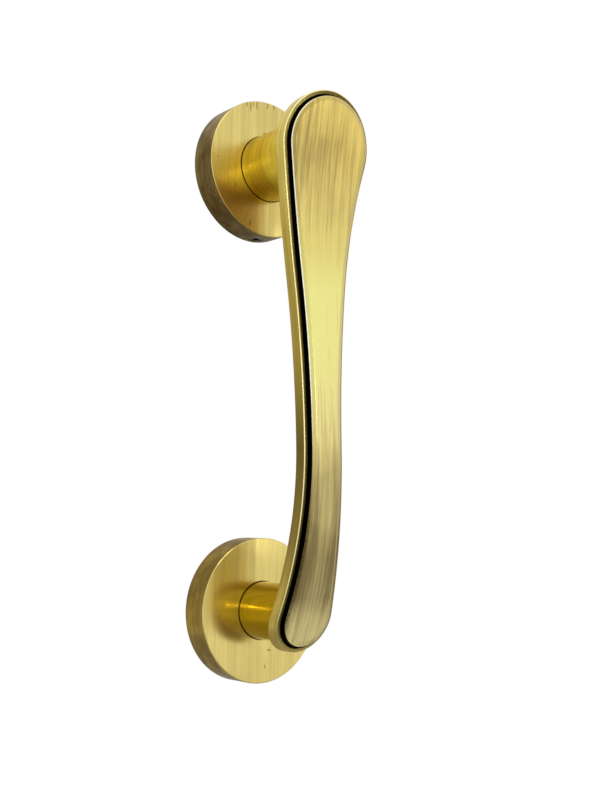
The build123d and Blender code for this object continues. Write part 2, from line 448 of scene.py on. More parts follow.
# %% [markdown]
# ### The tree
#
# The grid has one row of points for each place round half of the outline, and one column for
# each point of the section. On every arc, a point is the arc's centre plus a radius times its
# outward direction, and the radius counts as negative on the hollow side arc, whose centre is
# outside. So one formula serves the whole outline, and an inset only shortens the radius.
# The walls stand square to the door, but at the head the panel rises square to the flare. The
# half is mirrored, the two are joined, and the seam is closed.

# %% Tree of the grip
steps_head, steps_side, steps_foot = 40, 90, 30
weld = 0.002 * mm


def new_tree(name, sizes):
    """A Geometry Nodes tree with a named input for each size."""
    tree = bpy.data.node_groups.new(name, "GeometryNodeTree")
    tree.interface.new_socket("Geometry", in_out="INPUT", socket_type="NodeSocketGeometry")
    for size in sizes:
        tree.interface.new_socket(size, in_out="INPUT", socket_type="NodeSocketFloat")
    tree.interface.new_socket("Material", in_out="INPUT", socket_type="NodeSocketMaterial")
    tree.interface.new_socket("Geometry", in_out="OUTPUT", socket_type="NodeSocketGeometry")
    entry = tree.nodes.new("NodeGroupInput")
    return tree, entry, {size: Wire(tree, entry.outputs[size]) for size in sizes}


def pick(when, if_true, if_false):
    """One of two values, by a wire that is 1 or 0."""
    return if_false + when * (if_true - if_false)


def closed_and_smooth(tree, geometry):
    """Close the seams of a mesh and shade it smooth."""
    closed = node(tree, "GeometryNodeMergeByDistance", Geometry=geometry, Distance=weld)
    return node(tree, "GeometryNodeSetShadeSmooth", Geometry=closed.outputs[0])


def hand_over(tree, entry, geometry):
    """Give the finished mesh its material and make it the tree's result."""
    real = node(tree, "GeometryNodeRealizeInstances", Geometry=geometry)
    dressed = node(tree, "GeometryNodeSetMaterial", Geometry=real.outputs[0],
                   Material=entry.outputs["Material"])
    node(tree, "NodeGroupOutput", Geometry=dressed.outputs[0])


grip_tree, entry, size = new_tree("grip_shape", grip_sizes)
sections = Wire(grip_tree, node(grip_tree, "GeometryNodeAttributeDomainSize",
                                Geometry=entry.outputs["Geometry"]).outputs["Point Count"])
rows = steps_head + steps_side + steps_foot + 1
grid = node(grip_tree, "GeometryNodeMeshGrid", Vertices_X=rows, Vertices_Y=sections)
index = Wire(grip_tree, node(grip_tree, "GeometryNodeInputIndex").outputs[0])
row = ((index + 0.5) / sections).math("FLOOR")
column = index - row * sections
sampled = node(grip_tree, "GeometryNodeSampleIndex", {"data_type": "FLOAT_VECTOR"},
               Geometry=entry.outputs["Geometry"], Index=column,
               Value=node(grip_tree, "GeometryNodeInputPosition").outputs[0])
inset, depth, share = split(grip_tree, sampled.outputs[0])

# Seen from the front: the middle of the side arc, and where it touches the head and the foot.
gap = size["Head Height"] - size["Foot Height"]
to_head = size["Side Radius"] + size["Head Radius"]
to_foot = size["Side Radius"] + size["Foot Radius"]
rise = (to_foot.square() - to_head.square() + gap.square()) / (gap * 2.0)
side_x = (to_foot.square() - rise.square()).root()
side_z = size["Foot Height"] + rise
head_touch = (side_z - size["Head Height"]).math("ARCTAN2", side_x)
foot_touch = (side_z - size["Foot Height"]).math("ARCTAN2", side_x)

# Each row's place on the outline: an arc's centre, its radius and a direction.
on_head = (row / steps_head).clamped()
on_side = ((row - steps_head) / steps_side).clamped()
on_foot = ((row - (steps_head + steps_side)) / steps_foot).clamped()
facing = (on_head * (head_touch - pi / 2) + on_side * (foot_touch - head_touch)
          + on_foot * (-foot_touch - pi / 2) + pi / 2)
past_head = row.more(steps_head + 0.5)
past_side = row.more(steps_head + steps_side + 0.5)
centre_x = past_head * side_x * past_side.opposite()
centre_z = pick(past_side, size["Foot Height"], pick(past_head, side_z, size["Head Height"]))
radius = pick(past_side, size["Foot Radius"], pick(past_head, -size["Side Radius"], size["Head Radius"]))
ring_x = centre_x + (radius - inset) * facing.math("COSINE")
ring_z = centre_z + (radius - inset) * facing.math("SINE")
spine_z = ring_z.math("MINIMUM", size["Head Height"]).math("MAXIMUM", size["Foot Height"])
x = ring_x * share.opposite()
z = ring_z + share * (spine_z - ring_z)

# Seen from the side: a bulge, a straight run that leans, and a flare at the head.
lean = size["Straight Lean"]
door_y, door_z = lean.math("COSINE"), -lean.math("SINE")
up_y, up_z = lean.math("SINE"), lean.math("COSINE")
crest_y, crest_z = -size["Crest Off Door"], size["Crest Height"]
shoulder_y = crest_y + up_y * size["Straight Length"]
shoulder_z = crest_z + up_z * size["Straight Length"]
bulge_y = crest_y + door_y * size["Bulge Radius"]
bulge_z = crest_z + door_z * size["Bulge Radius"]
flare_y = shoulder_y - door_y * size["Flare Radius"]
flare_z = shoulder_z - door_z * size["Flare Radius"]
low_y, low_z = crest_y + door_y * depth, crest_z + door_z * depth
high_z = shoulder_z + door_z * depth
pitch = z.more(flare_z) * (-z + flare_z) / size["Flare Radius"]
raised = depth.math("MINIMUM", 0.0).math("ABSOLUTE")
z = z + raised * pitch
on_bulge = bulge_y - ((size["Bulge Radius"] - depth).square() - (z - bulge_z).square()).root()
on_straight = low_y + (z - low_z) * lean.math("TANGENT")
on_flare = flare_y + ((size["Flare Radius"] + depth).square()
                      - (z.math("MAXIMUM", high_z) - flare_z).square()).root()
y = pick(z.less(low_z), on_bulge, pick(z.more(high_z), on_flare, on_straight))

there = node(grip_tree, "ShaderNodeCombineXYZ", X=x, Y=y, Z=z)
half_grip = node(grip_tree, "GeometryNodeSetPosition", Geometry=grid.outputs["Mesh"],
                 Position=there.outputs[0])
named = node(grip_tree, "GeometryNodeStoreNamedAttribute", {"data_type": "FLOAT_VECTOR", "domain": "POINT"},
             Geometry=half_grip.outputs[0], Name="section", Value=sampled.outputs[0])
other = node(grip_tree, "GeometryNodeTransform", Geometry=named.outputs[0], Scale=(-1, 1, 1))
turned = node(grip_tree, "GeometryNodeFlipFaces", Mesh=other.outputs[0])
joined = node(grip_tree, "GeometryNodeJoinGeometry")
for part in (named, turned):
    grip_tree.links.new(part.outputs[0], joined.inputs[0])
smooth = closed_and_smooth(grip_tree, joined.outputs[0])
hand_over(grip_tree, entry, smooth.outputs[0])
print("nodes in the tree:", len(grip_tree.nodes))

# %% [markdown]
# ### From tree to mesh
#
# A modifier finds its inputs by their identifiers. The result is copied to a plain mesh, which
# takes the place of the grip's solid on show, and the modifier goes.

# %% Make a piece with a tree
def grown(name, start, tree, sizes, material):
    """Run a tree on a starting mesh and give the result as a plain mesh object."""
    seed = bpy.data.objects.new(name + "_seed", start)
    bpy.context.scene.collection.objects.link(seed)
    modifier = seed.modifiers.new("shape", "NODES")
    modifier.node_group = tree
    sockets = {i.name: i.identifier for i in tree.interface.items_tree if i.in_out == "INPUT"}
    for key, value in sizes.items():
        modifier[sockets[key]] = value
    modifier[sockets["Material"]] = material
    bpy.context.view_layer.update()
    evaluated = seed.evaluated_get(bpy.context.evaluated_depsgraph_get())
    mesh = bpy.data.meshes.new_from_object(evaluated)
    mesh.name = name
    piece = bpy.data.objects.new(name, mesh)
    bpy.context.scene.collection.objects.link(piece)
    seed.modifiers.clear()
    bpy.data.objects.remove(seed)
    return piece


def sides(piece):
    """The low and the high side of an object's box along each axis, six numbers in all."""
    corners = [piece.matrix_world @ Vector(c) for c in piece.bound_box]
    return [side(c[axis] for c in corners) for side in (min, max) for axis in range(3)]


grip_brass = bpy.data.materials.new("grip_brass")
grip = grown("grip_casting", section_mesh, grip_tree, grip_sizes, grip_brass)
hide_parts("grip")
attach(grip, "root")
low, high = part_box("grip")
print("grip faces:", len(grip.data.polygons))
print("solid:", [round(v / mm, 2) for v in (*low, *high)])
print("mesh: ", [round(v / mm, 2) for v in sides(grip)])

# %% [markdown]
# ## The finish: brushed and antiqued brass
#
# Antique brass is bright brass that is darkened in a bath and then rubbed back with a fine
# abrasive belt. So three things lie over each other: the metal, fine brush lines along the way the
# belt ran, and a brown film that stays wherever the belt pressed less, in soft streaks along the
# lines and in every corner. Two node groups hold what all the brass pieces share. The first draws
# the lines: noise that is stretched along one axis, at two sizes. The second draws the film. Both
# take a stretched position, so each piece says for itself which way it was brushed.

# %% Node groups
stretch = 0.035
coarse_lines = 0.31
lines_dark, lines_bright = 0.36, 0.64
streak_share = 0.65
patches_per_metre = 55.0
film_contrast = 2.4


def new_group(name, inputs, outputs):
    """A shader node group with named number and position inputs and number outputs."""
    tree = bpy.data.node_groups.new(name, "ShaderNodeTree")
    for label, kind in inputs.items():
        tree.interface.new_socket(label, in_out="INPUT", socket_type=kind)
    for label in outputs:
        tree.interface.new_socket(label, in_out="OUTPUT", socket_type="NodeSocketFloat")
    return tree, tree.nodes.new("NodeGroupInput").outputs, tree.nodes.new("NodeGroupOutput").inputs


def noise(tree, vector, scale, detail=2.0, roughness=0.5):
    """Smooth noise between 0 and 1."""
    made = node(tree, "ShaderNodeTexNoise", Vector=vector, Scale=scale, Detail=detail, Roughness=roughness)
    return Wire(tree, made.outputs[0])


lines_group, given, wanted = new_group(
    "brush_lines", {"Vector": "NodeSocketVector", "Lines Per Metre": "NodeSocketFloat"}, ["Lines", "Height"])
lines_per_metre = Wire(lines_group, given["Lines Per Metre"])
fine = noise(lines_group, given["Vector"], lines_per_metre, detail=2.0, roughness=0.6)
coarse = noise(lines_group, given["Vector"], lines_per_metre * coarse_lines, detail=1.0)
plug(lines_group, (fine * 0.5 + coarse * 0.5).ramp(lines_dark, lines_bright), wanted["Lines"])
plug(lines_group, fine, wanted["Height"])

film_group, given, wanted = new_group(
    "dark_film",
    {"Vector": "NodeSocketVector", "Position": "NodeSocketVector", "Streaks": "NodeSocketFloat",
     "Amount": "NodeSocketFloat"},
    ["Film"])
streaks = noise(film_group, given["Vector"], given["Streaks"], detail=3.0, roughness=0.65)
patches = noise(film_group, given["Position"], patches_per_metre, detail=2.0)
uneven = (streaks * streak_share + patches * (1 - streak_share) - 0.5) * film_contrast
plug(film_group, (uneven + given["Amount"]).clamped(), wanted["Film"])


def use(tree, group, **inputs):
    """Place a node group in a material. Its outputs come back as wires, by name."""
    made = tree.nodes.new("ShaderNodeGroup")
    made.node_tree = group
    for name, value in inputs.items():
        plug(tree, value, made.inputs[name.replace("_", " ")])
    return {socket.name: Wire(tree, socket) for socket in made.outputs}


def squeezed(tree, vector, x=1.0, y=1.0, z=1.0):
    """A position pressed together along some axes, so that a noise turns into long lines there."""
    return node(tree, "ShaderNodeMapping", Vector=vector, Scale=(x, y, z)).outputs[0]


def metal(tree, colour, roughness, relief, **own):
    """The shader of a metal: a colour, a roughness and a relief in metres."""
    bump = node(tree, "ShaderNodeBump", Height=relief, Strength=1.0, Distance=1.0)
    skin = node(tree, "ShaderNodeBsdfPrincipled", Metallic=1.0, Base_Color=colour, Roughness=roughness,
                Normal=bump.outputs[0], **own)
    node(tree, "ShaderNodeOutputMaterial", Surface=skin.outputs[0])


print("groups:", [g.name for g in bpy.data.node_groups])

# %% [markdown]
# ### Slow changes up the grip
#
# The colours change slowly up the grip: the head is a warm gold, the straight run is the palest,
# with almost no film, and the foot is darker again. This is partly the brass's own tone and film,
# and partly painted reflection: a painted highlight on the straight run, and painted darker
# reflection lower down and on the walls. Lists of heights in millimetres hold those slow changes,
# of the colours, of the depth of the brush lines and of the film, and a colour ramp reads each
# list. An image could be painted by hand instead, but a list can be changed at one height and
# stays sharp from any distance.

# %% Lists by height
# Panel colours by height: partly the brass's own tone, partly painted reflection, palest on the straight run
# where a painted highlight lies.
panel_colours_and_painted_light = [
    (-90, "FFF2A8"), (-80, "FFEEA4"), (-72, "E0D090"), (-60, "D2C384"), (-30, "D8C782"), (-8, "DACF86"),
    (12, "D9D384"), (28, "D9D383"), (42, "D3C573"), (56, "CFBC6E"), (74, "D3BB68"), (95, "D8C069"),
]
# Wall colours by height: partly film, partly painted reflection, darkest at the waist.
wall_colours_and_painted_light = [
    (-90, "CDB664"), (-73, "CCB458"), (-53, "927C34"), (-24, "6E5C1A"), (9, "B09842"), (42, "C2A94C"),
    (76, "F0D86A"), (95, "D2BC68"),
]
# Film by height: partly real film, partly painted shade on the lower run and the head.
panel_film_and_painted_shade = [
    (-90, 0.0), (-84, 0.0), (-78, 0.3), (-72, 0.72), (-60, 0.80), (-47, 0.6), (-34, 0.4), (-21, 0.1),
    (-8, 0.03), (42, 0.03), (54, 0.1), (66, 0.26), (78, 0.34), (88, 0.2), (95, 0.08),
]
brush_depth = [(-90, 1.0), (-24, 1.0), (-6, 0.2), (10, 0.05), (34, 0.05), (62, 0.8), (95, 1.0)]


def by_height(tree, height, stops):
    """A colour or a plain number for each height, from a list with heights in millimetres."""
    values = [paint(value) if isinstance(value, str) else (value, value, value, 1) for _, value in stops]
    lowest, highest = stops[0][0], stops[-1][0]
    made = node(tree, "ShaderNodeValToRGB", Fac=(height / mm - lowest) / (highest - lowest))
    marks = made.color_ramp.elements
    marks[0].color, marks[1].color = values[0], values[-1]
    for (level, _), value in zip(stops[1:-1], values[1:-1]):
        marks.new((level - lowest) / (highest - lowest)).color = value
    return Wire(tree, made.outputs[0])


print("stops:", [len(stops) for stops in (panel_colours_and_painted_light, wall_colours_and_painted_light, panel_film_and_painted_shade, brush_depth)])

# %% [markdown]
# ### The parts of the grip, as masks
#
# The belt treats each part of the section in its own way, so the finish has to know where it is.
# The three numbers that the tree stored with each point, inset, depth and share, tell the wall, the
# rim, the dark step beside the panel, the panel's sloping edge and the back apart. Each mask is 1
# on its part and 0 elsewhere, and those of thin bright or dark lines fade over a tenth or two of a
# millimetre. Masks by height or by side hold what changes in one place only: some of it film that
# the belt left, and some painted highlight and painted shade.

# %% Masks of the grip
slack = 0.05 * mm
bevel_foot = bevel_drop - panel_rise
wall_across = 0.05
highlight_and_bare_share = 0.25


def grip_parts(tree):
    """Where a point of the grip lies, which part of the section it is on, and how it was brushed."""
    at = SimpleNamespace(place=object_place(tree))
    at.x, _, at.z = split(tree, at.place)
    stored = node(tree, "ShaderNodeAttribute", {"attribute_name": "section"})
    at.inset, at.depth, at.share = split(tree, stored.outputs["Vector"])
    at.panel = at.depth.less(bevel_foot + slack)
    at.front = at.depth.less(groove_depth + 2 * slack)
    at.back = at.depth.more(grip_wall - slack)
    at.wall = at.inset.less(0.08 * mm) * at.depth.more(0.25 * mm)
    at.rim = at.inset.more(0.34 * mm) * at.depth.less(0.30 * mm) * at.panel.opposite()
    at.left = at.x.ramp_mm(2, -6)
    # Up the wall X changes with the outline and would break the lines, so depth tells them apart.
    across = at.x * (at.wall * (wall_across - 1) + 1.0)
    at.along = node(tree, "ShaderNodeCombineXYZ", X=across, Y=at.depth, Z=at.z * stretch).outputs[0]
    return at


def film_and_painted_shade(tree, at):
    """Dark film on the panel: partly real film, partly painted shade near its edges and low down, with less on
    the straight run for a painted highlight.
    """
    # Painted shade: more film towards the panel's edges than in its middle.
    edge_shade = at.share.ramp(0.75, 0.0) * 0.5 + 0.75
    head_left = at.x.ramp_mm(12, -8) * 0.9 + 0.3
    uneven = pick(at.z.more(30 * mm), head_left, edge_shade)
    # Less film on the straight run: partly the metal rubbed clean, partly a painted highlight.
    bare_and_highlight = at.z.ramp_mm(-12, 8) * at.z.ramp_mm(50, 34) * highlight_and_bare_share
    return by_height(tree, at.z, panel_film_and_painted_shade) * uneven - bare_and_highlight


def highlight_and_shade_lines(at):
    """Painted highlights along the edges of the rim and the panel, mostly on the left, and a painted shade line
    beside the rim's edge.
    """
    # Painted highlight on the rim's outer edge, strongest on the left and faded out at the foot.
    rim_highlight = at.inset.ramp_mm(0.50, 0.32) * at.inset.more(0.06 * mm) * at.depth.ramp_mm(0.50, 0.30)
    rim_highlight = rim_highlight * at.z.ramp_mm(-86, -66) * (at.left * 0.65 + 0.15)
    # Painted shade: a thin dark line just inside the rim's outer edge, mostly on the left.
    rim_shade_line = at.inset.ramp_mm(0.42, 0.52) * at.inset.ramp_mm(0.72, 0.58) * at.depth.less(0.1 * mm)
    rim_shade_line = rim_shade_line * at.panel.opposite() * at.left * 0.55
    # Painted highlight along the edge of the panel, mostly on the left, from the waist up.
    into_panel = at.inset - panel_inset
    panel_highlight = into_panel.ramp_mm(0.34, 0.16) * into_panel.more(-0.02 * mm) * at.front
    panel_highlight = panel_highlight * (at.left * 0.8 + 0.1) * at.z.ramp_mm(-30, 10) * at.z.ramp_mm(97, 84)
    return rim_highlight, rim_shade_line, panel_highlight


def dark_step(tree, at):
    """The black in the groove and up the panel's side, and where it is smeared on over the panel."""
    ragged = noise(tree, at.place, 900.0)
    smear = at.z.ramp_mm(-10, -60) * 0.55 * mm + 0.20 * mm
    foot = (at.inset + ragged * 0.3 * mm).ramp(-smear + rim_width, rim_width + 0.10 * mm)
    head = (at.depth - bevel_foot).ramp_mm(0.10, 0.30)
    in_step = foot * head * at.inset.less(panel_inset + 0.3 * mm) * at.front
    low_on_panel = at.z.ramp_mm(-30, -55) * at.z.ramp_mm(-86, -78) * 0.8
    on_panel = at.inset.ramp(panel_inset + 1.6 * mm, panel_inset) * at.panel * low_on_panel
    return in_step, (in_step + on_panel * (ragged + 0.4)).clamped()


print("the foot of the bevel lies", round(-bevel_foot / mm, 2), "mm in front of the rim")

# %% [markdown]
# ### Brass on the grip
#
# The colours are laid one over the other: the metal, the film and the brushing in the order in
# which a workshop makes them, then the painted highlights along the edges of the rim and the
# panel, a painted shade line beside the rim's edge, and the black that the belt can't reach.

# %% Grip finish
# The film's brown also carries painted shade, the tan and the back's pale gold are painted reflection, the
# cream and the white are painted highlights, and the olive also draws a painted shade line.
film_and_shade_brown, wall_film_brown, line_brown = paint("6E5C3A"), paint("55461C"), paint("8F7C45")
bevel_painted_sheen, back_painted_light, olive_rim_and_shade = paint("C9B386"), paint("EAD890"), paint("453B16")
cream_rim_highlight, white_panel_highlight, step_black = paint("FFF4B4"), paint("FFFAE4"), paint("0A0603")


def dress_grip(material):
    tree = blank(material)
    at = grip_parts(tree)
    how_deep = by_height(tree, at.z, brush_depth)
    lines = use(tree, lines_group, Vector=at.along, Lines_Per_Metre=1900.0)
    brushed = lines["Lines"] * how_deep
    # The panel's film is partly real film and partly painted shade.
    amount = film_and_painted_shade(tree, at)
    film = use(tree, film_group, Vector=at.along, Position=at.place, Streaks=1150.0, Amount=amount)
    wall_film = use(tree, film_group, Vector=at.along, Position=at.place, Streaks=700.0, Amount=0.22)
    cover = film["Film"] * 0.85
    # Painted highlights on the edges and a painted shade line beside the rim's edge.
    rim_highlight, rim_shade_line, panel_highlight = highlight_and_shade_lines(at)
    in_step, black = dark_step(tree, at)

    # Painted reflection: a paler tan on the panel's right-hand bevel.
    on_bevel = at.inset.ramp(field_inset + 0.2 * mm, field_inset - 0.2 * mm) * at.front
    panel = layered(tree, by_height(tree, at.z, panel_colours_and_painted_light), [
        (cover, film_and_shade_brown),
        (on_bevel * at.x.ramp_mm(-4, 6) * 0.55, bevel_painted_sheen),
    ])
    wall = layered(tree, by_height(tree, at.z, wall_colours_and_painted_light), [
        # Painted reflection: the back is given a paler gold, so that it shows light where the roses mirror it.
        (at.back, back_painted_light),
        (wall_film["Film"] * 0.5, wall_film_brown),
    ])
    right_of_head = at.x.ramp_mm(-16, -2) * at.z.ramp_mm(60, 80)
    colour = layered(tree, panel, [
        (at.panel.opposite(), wall),
        (at.rim * at.z.ramp_mm(-88, -82) * (right_of_head * 0.45 + 0.5), olive_rim_and_shade),
        (brushed * 0.30, line_brown),
        # Painted highlight on the rim's edge, painted shade line beside it, painted highlight on the panel's
        # edge.
        (rim_highlight, cream_rim_highlight),
        (rim_shade_line, olive_rim_and_shade),
        (panel_highlight, white_panel_highlight),
        (black, step_black),
    ])
    roughness = brushed * 0.10 + cover * 0.14 + in_step * 0.4 + 0.24
    metal(tree, colour, roughness, lines["Height"] * how_deep * 0.02 * mm)


dress_grip(grip_brass)
print("grip finish:", len(grip_brass.node_tree.nodes), "nodes")

# %% [markdown]
# ### Brass on the roses
#
# Both roses are turned discs. Their faces were brushed upright and kept bright, so that they mirror
# the posts. Polishing leaves such a face very slightly domed towards its edge, which the relief
# holds. The walls carry more film than the faces, and the upper wall is painted darker than the
# lower one, a painted shade on one of two equal parts. The face of the upper rose has a painted
# dark reflection to the left of its post and below. The distance from the rose's own middle tells
# face, edge and wall apart. As the two roses stand at equal heights above and below the middle, the
# size of Z without its sign serves for both. The small marks of wear are a list: where each one
# is, and half its width and height.

# %% Rose finish
rose_low, rose_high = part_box("upper_rose")
rose_radius = (rose_high.x - rose_low.x) / 2
rose_height = (rose_high.z + rose_low.z) / 2
rose_face = -rose_low.y
post_radius = {level: (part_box(level + "_post")[1].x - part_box(level + "_post")[0].x) / 2 for level in levels}
dome_start = 13 * mm
dome_slope = 5.0
face_gold, lit_lower_wall_bright, lit_lower_wall_dull = paint("E0CC7C"), paint("C8A63A"), paint("9C8230")
shaded_upper_wall_dark, shaded_upper_wall_pale, hollow_brown = paint("5C471A"), paint("A8925E"), paint("8F7C45")
rose_film, rose_lines, stain_amber = paint("4A340A"), paint("8F7A3C"), paint("9A6608")
wear_brown, seam_black = paint("75551A"), paint("240C04")
marks_on_faces = [
    (-9.6, 99.3, 0.30, 1.1), (-7.9, 98.9, 0.35, 1.9), (-6.6, 99.9, 0.25, 1.3), (-5.2, 99.8, 0.35, 1.6),
    (-0.4, 100.6, 0.35, 1.2), (2.4, 100.8, 0.30, 1.1), (-1.4, 90.3, 0.9, 0.35), (-21.7, 77.7, 0.30, 0.25),
    (-13.8, 69.3, 0.25, 0.8), (-7.5, 56.5, 0.4, 1.1), (3.2, -91.0, 0.9, 0.35), (1.5, -96.5, 0.25, 0.8),
]
print("rose:", [round(v / mm, 2) for v in (rose_radius, rose_height, rose_face)], post_radius)


def round_place(tree, place):
    """The distance from the middle of the nearer rose, the place off the door, and up or down."""
    x, y, z = split(tree, place)
    from_middle = (x.square() + (z.math("ABSOLUTE") - rose_height).square()).root()
    return from_middle, -y, z.more(0.0)


def face_marks(tree, place):
    """The small dark marks of wear on the faces."""
    across, _, height = split(tree, place)
    ragged = noise(tree, place, 2200.0) * 1.6 - 0.8
    found = None
    for x, z, half_width, half_height in marks_on_faces:
        aside, above = (across - x * mm) / (half_width * mm), (height - z * mm) / (half_height * mm)
        spot = (aside.square() + above.square() + ragged).ramp(1.4, 0.5)
        found = found.math("MAXIMUM", spot) if found else spot
    return found


def rose_parts(tree):
    """Where a point of a rose lies, and which part of the rose it is on."""
    at = SimpleNamespace(place=object_place(tree))
    at.from_middle, off_door, at.is_upper = round_place(tree, at.place)
    x, _, z = split(tree, at.place)
    at.wall = (at.from_middle - rose_radius).ramp_mm(-0.25, -0.10) * off_door.less(rose_face - 0.25 * mm)
    at.inside = at.from_middle.less(rose_radius - 0.3 * mm) * off_door.less(rose_face - 0.1 * mm)
    post_edge = at.is_upper * (post_radius["upper"] - post_radius["lower"]) + post_radius["lower"]
    at.seam = (at.from_middle - post_edge).ramp_mm(0.42, 0.12)
    above_middle = z - rose_height
    at.low = above_middle.ramp_mm(4, -14) * at.is_upper
    # Painted reflection: a dark amber on the upper rose's face to the left of its post and below.
    at.stain = x.ramp_mm(-1, -6) * above_middle.ramp_mm(-5, -12) * at.is_upper * at.wall.opposite()
    at.marks = face_marks(tree, at.place) * off_door.more(rose_face - 0.3 * mm)
    return at


def dress_rose(material):
    tree = blank(material)
    at = rose_parts(tree)
    along = squeezed(tree, at.place, z=stretch)
    lines = use(tree, lines_group, Vector=along, Lines_Per_Metre=1400.0)
    amount = at.wall * (at.low * 0.40 + 0.40) + 0.05
    film = use(tree, film_group, Vector=along, Position=at.place, Streaks=260.0, Amount=amount)
    cover = film["Film"] * (at.wall * 0.5 + 0.4)

    cloud = noise(tree, at.place, 60.0, detail=3.0, roughness=0.6).ramp(0.38, 0.62)
    # Painted shade: the upper wall is given darker colours than the lower one, though the roses are the same
    # part.
    lit_lower_wall = mixed(tree, cloud, lit_lower_wall_bright, lit_lower_wall_dull)
    shaded_upper_wall = mixed(tree, cloud, shaded_upper_wall_dark, shaded_upper_wall_pale)
    colour = layered(tree, face_gold, [
        (at.wall, mixed(tree, at.is_upper, lit_lower_wall, shaded_upper_wall)),
        (cover, rose_film),
        (lines["Lines"] * (at.wall * 0.15 + 0.2), rose_lines),
        # The painted dark reflection on the upper face.
        (at.stain * 0.55, stain_amber),
        (at.marks * 0.6, wear_brown),
        (at.seam, seam_black),
        (at.inside * 0.5, hollow_brown),
    ])
    roughness = (lines["Lines"] * 0.06 + cover * 0.15 + at.wall * 0.08 + at.inside * 0.2 + at.is_upper * 0.07
                 + 0.19)
    dome = (at.from_middle - dome_start).math("MAXIMUM", 0.0).square() * dome_slope
    across = node(tree, "ShaderNodeCombineXYZ", X=at.wall.opposite(), Y=at.wall).outputs[0]
    metal(tree, colour, roughness, lines["Height"] * 0.010 * mm - dome, Anisotropic=0.7, Tangent=across)


rose_brass = bpy.data.materials.new("rose_brass")
dress_rose(rose_brass)
print("rose finish:", len(rose_brass.node_tree.nodes), "nodes")

# %% [markdown]
# ### Brass on the posts
#
# The posts were only turned and polished, so their lines run round them. Their colour is a painted
# reflection: the deeper gold of brass that mirrors more brass, painted paler on the upper post than
# on the lower. The lower one has the brighter polish.

# %% Post finish
turned_stretch = 0.03
# Both golds are painted reflection of brass in brass, paler on the upper post.
lower_post_reflection_gold, upper_post_reflection_gold = paint("B89E1C"), paint("F2D648")
post_film, post_lines, foot_seam = paint("5A4008"), paint("A5801E"), paint("2A1508")


def dress_post(material):
    tree = blank(material)
    place = object_place(tree)
    around = squeezed(tree, place, x=turned_stretch, z=turned_stretch)
    _, off_door, is_upper = round_place(tree, place)
    lines = use(tree, lines_group, Vector=around, Lines_Per_Metre=2600.0)
    turned = lines["Lines"]
    amount = is_upper * 0.30 + 0.06
    film = use(tree, film_group, Vector=around, Position=place, Streaks=500.0, Amount=amount)
    cover = film["Film"] * 0.6
    seam = (off_door - rose_face).ramp_mm(0.35, 0.15)
    colour = layered(tree, lower_post_reflection_gold, [
        (is_upper, upper_post_reflection_gold),
        (cover, post_film),
        (turned * is_upper * 0.25, post_lines),
        (seam, foot_seam),
    ])
    roughness = turned * 0.05 + is_upper * 0.17 + cover * 0.15 + 0.10
    metal(tree, colour, roughness, lines["Height"] * 0.006 * mm)


post_brass = bpy.data.materials.new("post_brass")
dress_post(post_brass)
print("post finish:", len(post_brass.node_tree.nodes), "nodes")

# %% [markdown]
# ### Steel inside the roses
#
# The fixings don't show once the handle is up, but they do from behind. They are plated steel:
# zinc on the plates and washers, yellow zinc on the wood screws, black oxide on the grub screws.
# Plating is cloudy at the size of a few millimetres and finely grained under that.

# %% Steel finishes
clouds_per_metre = 320.0
grains_per_metre = 3500.0


def steel(name, light, dark, smoothness):
    """A plated steel between two colours, cloudy and finely grained."""
    material = bpy.data.materials.new(name)
    tree = blank(material)
    place = object_place(tree)
    clouds = noise(tree, place, clouds_per_metre, detail=3.0).ramp(0.3, 0.7)
    grain = noise(tree, place, grains_per_metre, detail=1.0)
    colour = mixed(tree, clouds, paint(light), paint(dark))
    metal(tree, colour, clouds * 0.08 + grain * 0.08 + smoothness, grain * 0.01 * mm)
    return material


steels = {
    "mounting_plate": steel("plate_steel", "C8CAC8", "ACAEAD", 0.30),
    "grub_screw": steel("grub_steel", "2B2A29", "151414", 0.34),
    "post_screw": steel("screw_steel", "C4C8CC", "9EA3A8", 0.20),
    "plain_washer": steel("washer_steel", "C8CBCD", "A0A4A7", 0.24),
    "spring_washer": steel("spring_steel", "8A8A8C", "636365", 0.30),
}
yellow_zinc = steel("wood_screw_steel", "D9C88B", "B7A063", 0.24)


def dress(node_name, material):
    """Put one material on every slot of a solid."""
    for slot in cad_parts[node_name].material_slots:
        slot.material = material


for level in levels:
    dress(level + "_rose", rose_brass)
    dress(level + "_post", post_brass)
    for kind, material in steels.items():
        dress(level + "_" + kind, material)
print("dressed solids:", {n: [s.material.name for s in o.material_slots] for n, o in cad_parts.items()})

# %% [markdown]
# ## The wood screws
#
# Four countersunk wood screws hold the mounting plates to the door. A real one is rolled: its
# thread is a sharp ridge that winds round a thin core and runs out in a point, and its head has
# a cross recess. The solids only have a plain shank, because a thread that fine would make the
# checks slow without making the part truer. A thread is a rule, as the radius of each point depends
# on how far it has been carried round and along. So Geometry Nodes can make it from a grid: one
# side of the grid goes round the screw, the other along it. Modelling one turn and repeating it by
# an array would leave a seam at each turn and no point.

# %% Wood screw sizes
screw_names = [f"{level}_wood_screw_{number}" for level in levels for number in (1, 2)]
screw_low, screw_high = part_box(screw_names[0])
screw_sizes = {
    "Head Place": screw_low.y,
    "Height": 0.0,
    "Length": screw_high.y - screw_low.y,
    "Head Radius": (screw_high.x - screw_low.x) / 2,
    "Head Land": 0.3 * mm,
    "Shank Radius": 1.5 * mm,
    "Ridge Radius": 2.0 * mm,
    "Thread Start": 5.0 * mm,
    "Pitch": 1.8 * mm,
    "Point Length": 4.0 * mm,
    "Tip Radius": 0.3 * mm,
    "Recess Radius": 2.2 * mm,
    "Recess Depth": 1.9 * mm,
    "Slot Width": 1.0 * mm,
    "Slot Taper": 0.22 * mm,
}
print("wood screw:", {name: round(value / mm, 2) for name, value in screw_sizes.items()})

